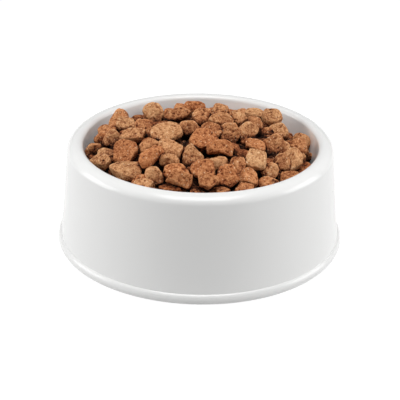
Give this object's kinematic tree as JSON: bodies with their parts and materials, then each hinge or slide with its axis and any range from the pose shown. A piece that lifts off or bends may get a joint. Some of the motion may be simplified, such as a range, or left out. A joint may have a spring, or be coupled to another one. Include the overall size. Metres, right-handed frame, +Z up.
{
  "type": "filled pet food bowl",
  "caption": "Round white moulded pet food bowl with a flared skirt, a broad rolled rim and a beaded foot, heaped with dry kibble.",
  "frame": {"origin": "middle of the foot ring, on the surface that the bowl stands on", "axes": "+Z up out of the bowl, -Y towards the viewer of the picture, +X to that viewer's right"},
  "size_m": [0.18, 0.18, 0.0797],
  "materials": {
    "white_plastic": "smooth, glossy white polypropylene",
    "kibble": "dry, rough and pitted baked crumb"
  },
  "bodies": {
    "root": {"bowl": "white_plastic", "kibble_bed": "kibble", "kibble_01": "kibble", "kibble_02": "kibble", "kibble_03": "kibble", "kibble_04": "kibble", "kibble_05": "kibble", "kibble_06": "kibble", "kibble_07": "kibble", "kibble_08": "kibble", "kibble_09": "kibble", "kibble_10": "kibble", "kibble_11": "kibble", "kibble_12": "kibble", "kibble_13": "kibble", "kibble_14": "kibble", "kibble_15": "kibble", "kibble_16": "kibble", "kibble_17": "kibble", "kibble_18": "kibble", "kibble_19": "kibble", "kibble_20": "kibble", "kibble_21": "kibble", "kibble_22": "kibble", "kibble_23": "kibble", "kibble_24": "kibble", "kibble_25": "kibble", "kibble_26": "kibble", "kibble_27": "kibble", "kibble_28": "kibble", "kibble_29": "kibble", "kibble_30": "kibble", "kibble_31": "kibble", "kibble_32": "kibble", "kibble_33": "kibble", "kibble_34": "kibble", "kibble_35": "kibble", "kibble_36": "kibble", "kibble_37": "kibble", "kibble_38": "kibble", "kibble_39": "kibble", "kibble_40": "kibble", "kibble_41": "kibble", "kibble_42": "kibble", "kibble_43": "kibble", "kibble_44": "kibble", "kibble_45": "kibble", "kibble_46": "kibble", "kibble_47": "kibble", "kibble_48": "kibble", "kibble_49": "kibble", "kibble_50": "kibble", "kibble_51": "kibble", "kibble_52": "kibble", "kibble_53": "kibble", "kibble_54": "kibble", "kibble_55": "kibble", "kibble_56": "kibble", "kibble_57": "kibble", "kibble_58": "kibble"}
  },
  "joints": []
}
